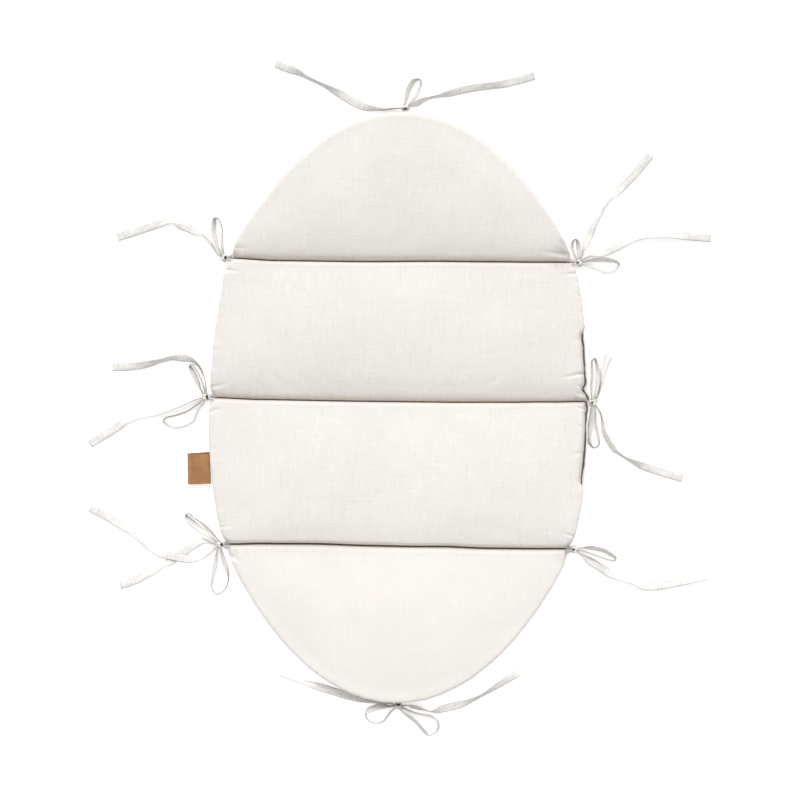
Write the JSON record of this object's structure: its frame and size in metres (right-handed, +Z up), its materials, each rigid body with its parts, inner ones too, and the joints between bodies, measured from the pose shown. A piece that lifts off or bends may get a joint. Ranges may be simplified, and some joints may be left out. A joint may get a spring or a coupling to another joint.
{
  "type": "infant lounger pad",
  "caption": "Quilted oval pad for an infant lounger: padded panels joined by stitched channels that fold, with fabric tie bows round the edge and a folded leather side label.",
  "frame": {"origin": "middle of the upper body panel's underside, on the surface that the pad lies on", "axes": "+X across the pad, +Y towards the head end, +Z up from the surface, through the pad to its padded front"},
  "size_m": [0.7949, 0.8659, 0.0273],
  "materials": {
    "cover_cloth": "matt plain-woven cotton with a linen look, cream",
    "back_cloth": "matt plain-woven cotton with a linen look, cream",
    "wadding_fibre": "soft white polyester wadding",
    "tape_cloth": "matt folded cotton tape, cream",
    "stitch_thread": "matt sewing thread in a shaded crease",
    "label_leather": "tan vegetable-tanned leather, matt"
  },
  "bodies": {
    "upper_panel": {"upper_front_cover": "cover_cloth", "upper_wadding": "wadding_fibre", "upper_back_cover": "back_cloth", "upper_left_edge_seam": "cover_cloth", "upper_right_edge_seam": "cover_cloth", "head_channel_stitching": "stitch_thread", "middle_channel_stitching": "stitch_thread", "left_head_tie_bow": "tape_cloth", "left_head_tie_tail": "tape_cloth", "right_head_tie_bow": "tape_cloth", "right_head_tie_upper_tail": "tape_cloth", "right_head_tie_lower_tail": "tape_cloth", "left_middle_tie_bow": "tape_cloth", "left_middle_tie_upper_tail": "tape_cloth", "left_middle_tie_lower_tail": "tape_cloth", "right_middle_tie_bow": "tape_cloth", "right_middle_tie_upper_tail": "tape_cloth", "right_middle_tie_lower_tail": "tape_cloth"},
    "head_panel": {"head_front_cover": "cover_cloth", "head_wadding": "wadding_fibre", "head_back_cover": "back_cloth", "head_edge_seam": "cover_cloth", "top_tie_bow": "tape_cloth", "top_tie_right_tail": "tape_cloth", "top_tie_left_tail": "tape_cloth"},
    "lower_panel": {"lower_front_cover": "cover_cloth", "lower_wadding": "wadding_fibre", "lower_back_cover": "back_cloth", "lower_left_edge_seam": "cover_cloth", "lower_right_edge_seam": "cover_cloth", "foot_channel_stitching": "stitch_thread", "side_label": "label_leather", "left_foot_tie_bow": "tape_cloth", "left_foot_tie_upper_tail": "tape_cloth", "left_foot_tie_lower_tail": "tape_cloth", "right_foot_tie_bow": "tape_cloth", "right_foot_tie_tail": "tape_cloth"},
    "foot_panel": {"foot_front_cover": "cover_cloth", "foot_wadding": "wadding_fibre", "foot_back_cover": "back_cloth", "foot_edge_seam": "cover_cloth", "bottom_tie_bow": "tape_cloth", "bottom_tie_left_tail": "tape_cloth", "bottom_tie_right_tail": "tape_cloth"}
  },
  "joints": [
    {"name": "head_fold", "type": "hinge", "parent": "upper_panel", "child": "head_panel", "pos_m": [0, 0.089, 0.005], "axis": [1, 0, 0], "range_deg": [0, 80]},
    {"name": "middle_fold", "type": "hinge", "parent": "upper_panel", "child": "lower_panel", "pos_m": [0, -0.089, 0.005], "axis": [-1, 0, 0], "range_deg": [0, 80]},
    {"name": "foot_fold", "type": "hinge", "parent": "lower_panel", "child": "foot_panel", "pos_m": [0, -0.277, 0.005], "axis": [-1, 0, 0], "range_deg": [0, 80]}
  ]
}
